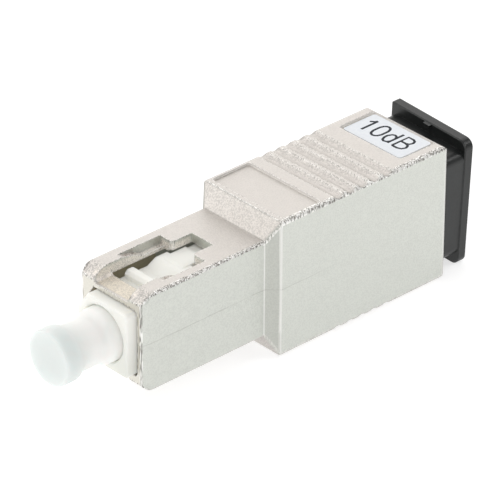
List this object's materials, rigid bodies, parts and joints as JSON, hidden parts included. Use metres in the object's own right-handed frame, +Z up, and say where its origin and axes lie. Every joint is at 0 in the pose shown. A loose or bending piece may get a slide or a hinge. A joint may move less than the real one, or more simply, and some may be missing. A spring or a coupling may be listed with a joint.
{
  "type": "fibre attenuator",
  "caption": "Fixed fibre-optic attenuator with a latching plug at one end, a receptacle at the other, a ribbed metal housing and dust caps on both ends.",
  "frame": {"origin": "optical axis at the front face of the metal nose", "axes": "+X along the optical axis towards the receptacle, +Y towards the key, +Z up, out of the upper latch window"},
  "size_m": [0.0426, 0.0097, 0.0129],
  "materials": {
    "nickel_plating": "bead-blasted, nickel plated",
    "white_label": "printed",
    "white_moulding": "moulded",
    "ceramic": "ground",
    "glass_fibre": "polished",
    "plated_collar": "nickel plated",
    "spring_steel": "drawn",
    "translucent_cap": "translucent",
    "black_plug": "moulded"
  },
  "bodies": {
    "housing": {"metal_housing": "nickel_plating", "rating_label": "white_label"},
    "inner": {"plug_frame": "white_moulding", "receptacle_latch": "white_moulding", "spring_seat": "plated_collar", "split_sleeve": "ceramic", "ferrule_spring": "spring_steel"},
    "ferrule_unit": {"ferrule": "ceramic", "attenuating_fibre": "glass_fibre", "ferrule_collar": "plated_collar"},
    "front_cap": {"front_dust_cap": "translucent_cap"},
    "rear_plug": {"rear_dust_plug": "black_plug"}
  },
  "joints": [
    {"name": "inner_slide", "type": "slide", "parent": "housing", "child": "inner", "axis": [1, 0, 0], "range_m": [-0.0009, 0]},
    {"name": "ferrule_float", "type": "slide", "parent": "inner", "child": "ferrule_unit", "axis": [1, 0, 0], "range_m": [0, 0.0008], "stiffness_N_per_m": 2500, "deforming": ["ferrule_spring"]},
    {"name": "front_cap_pull", "type": "slide", "parent": "inner", "child": "front_cap", "axis": [-1, 0, 0], "range_m": [0, 0.012]},
    {"name": "rear_plug_pull", "type": "slide", "parent": "housing", "child": "rear_plug", "axis": [1, 0, 0], "range_m": [0, 0.014]}
  ]
}
